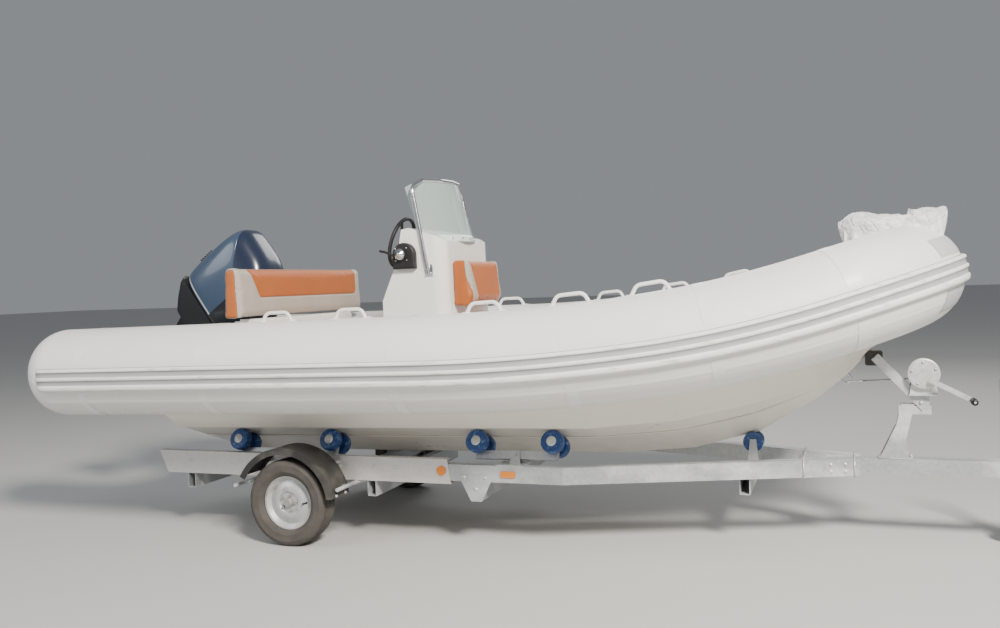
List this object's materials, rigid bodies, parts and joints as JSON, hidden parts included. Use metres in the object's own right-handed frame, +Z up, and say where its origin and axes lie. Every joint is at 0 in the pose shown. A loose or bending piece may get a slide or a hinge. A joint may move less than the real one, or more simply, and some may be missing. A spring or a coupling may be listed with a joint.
{
  "type": "rigid inflatable boat on trailer",
  "caption": "Rigid inflatable boat with console, bench and tilted outboard engine, resting on rollers of a single-axle road trailer with jockey wheel and winch.",
  "frame": {"origin": "on the ground under the middle of the overall box", "axes": "+X along the trailer to its coupling and to the boat's bow, +Y to port, +Z up"},
  "size_m": [7.0397, 2.5876, 2.3027],
  "materials": {
    "pvc_white": "coated inflatable fabric, satin",
    "strake_grey": "moulded rubber, matt",
    "gelcoat_cream": "glass fibre with gloss gelcoat",
    "gelcoat_white": "glass fibre with gloss gelcoat",
    "film_white": "moulded tread under protective film",
    "acrylic_clear": "clear acrylic sheet, slightly green",
    "stainless": "polished stainless steel",
    "black_plastic": "black moulded plastic",
    "cushion_orange": "coated marine upholstery, orange with grey",
    "handle_white": "white moulded handle",
    "engine_black": "dark painted aluminium",
    "cowl_navy": "dark blue gloss cowl",
    "galvanised": "hot-dip galvanised steel",
    "tyre_rubber": "tyre rubber, matt",
    "rim_silver": "silver painted steel",
    "cast_dark": "cast brake drum, zinc plated centre",
    "mudguard_black": "black moulded plastic",
    "roller_blue": "blue polyurethane",
    "black_rubber": "black rubber",
    "zinc_winch": "zinc plated steel",
    "webbing": "woven strap",
    "amber_lens": "amber reflector lens"
  },
  "bodies": {
    "boat_and_trailer": {"tube_collar": "pvc_white", "rub_strake": "strake_grey", "hull": "gelcoat_cream", "deck_moulding": "gelcoat_white", "bow_locker": "gelcoat_white", "foredeck": "gelcoat_white", "bow_step": "film_white", "console": "gelcoat_white", "windscreen": "acrylic_clear", "screen_rail": "stainless", "dash_panel": "black_plastic", "throttle": "black_plastic", "console_seat": "gelcoat_white", "console_cushion": "cushion_orange", "console_backrest": "cushion_orange", "stern_bench": "gelcoat_white", "bench_cushion": "cushion_orange", "bench_backrest": "cushion_orange", "grab_handles": "handle_white", "bow_eye": "stainless", "stern_eyes": "stainless", "clamp_bracket": "engine_black", "side_rails": "galvanised", "frame_arms": "galvanised", "drawbar": "galvanised", "cross_beams": "galvanised", "axle": "galvanised", "mudguards": "mudguard_black", "mudguard_stays": "galvanised", "roller_cradles": "galvanised", "hull_rollers": "roller_blue", "keel_roller": "roller_blue", "cradle_brackets": "galvanised", "winch_post": "galvanised", "stem_rubber": "black_rubber", "winch": "zinc_winch", "strap_hook": "stainless", "winch_strap": "webbing", "coupling_head": "zinc_winch", "jockey_tube": "zinc_winch", "reflectors": "amber_lens"},
    "right_wheel": {"tyre_right": "tyre_rubber", "rim_right": "rim_silver", "hub_drum_right": "cast_dark"},
    "left_wheel": {"tyre_left": "tyre_rubber", "rim_left": "rim_silver", "hub_drum_left": "cast_dark"},
    "jockey_leg": {"jockey_leg": "zinc_winch"},
    "jockey_fork": {"jockey_fork": "zinc_winch"},
    "jockey_wheel": {"jockey_wheel": "black_rubber"},
    "engine_swivel": {"swivel_bracket": "engine_black"},
    "engine": {"engine_leg": "engine_black", "lower_cowl": "engine_black", "upper_cowl": "cowl_navy", "engine_block": "cast_dark"},
    "propeller": {"propeller": "stainless"},
    "steering_wheel": {"steering_wheel": "black_plastic"},
    "locker_lid": {"bow_locker_lid": "gelcoat_white"}
  },
  "joints": [
    {"name": "right_wheel_spin", "type": "hinge", "parent": "boat_and_trailer", "child": "right_wheel", "pos_m": [-1.3, -0.85, 0.2725], "axis": [0, 1, 0], "continuous": true},
    {"name": "left_wheel_spin", "type": "hinge", "parent": "boat_and_trailer", "child": "left_wheel", "pos_m": [-1.3, 0.85, 0.2725], "axis": [0, 1, 0], "continuous": true},
    {"name": "jockey_leg_slide", "type": "slide", "parent": "boat_and_trailer", "child": "jockey_leg", "axis": [0, 0, 1], "range_m": [0, 0.17]},
    {"name": "jockey_fork_swivel", "type": "hinge", "parent": "jockey_leg", "child": "jockey_fork", "pos_m": [2.96, 0.118, 0.24], "axis": [0, 0, 1], "continuous": true},
    {"name": "jockey_wheel_spin", "type": "hinge", "parent": "jockey_fork", "child": "jockey_wheel", "pos_m": [2.918, 0.118, 0.1], "axis": [0, 1, 0], "continuous": true},
    {"name": "engine_tilt", "type": "hinge", "parent": "boat_and_trailer", "child": "engine_swivel", "pos_m": [-2.46871, 0, 1.13098], "axis": [0, 1, 0], "range_deg": [-56, 0]},
    {"name": "engine_steer", "type": "hinge", "parent": "engine_swivel", "child": "engine", "pos_m": [-2.53171, 0, 1.22115], "axis": [0.8198, 0, 0.5727], "range_deg": [-30, 30]},
    {"name": "propeller_spin", "type": "hinge", "parent": "engine", "child": "propeller", "pos_m": [-3.36361, 0, 0.98884], "axis": [0.5727, 0, -0.8198], "continuous": true},
    {"name": "steering_wheel_turn", "type": "hinge", "parent": "boat_and_trailer", "child": "steering_wheel", "pos_m": [-0.88115, 0, 1.90213], "axis": [-0.9507, 0, 0.31], "range_deg": [-540, 540]},
    {"name": "locker_lid_hinge", "type": "hinge", "parent": "boat_and_trailer", "child": "locker_lid", "pos_m": [1.517, 0, 1.42541], "axis": [0, 1, 0], "range_deg": [0, 75]}
  ],
  "couplings": [
    {"joint": "steering_wheel_turn", "follows": "engine_steer", "ratio": -18}
  ]
}
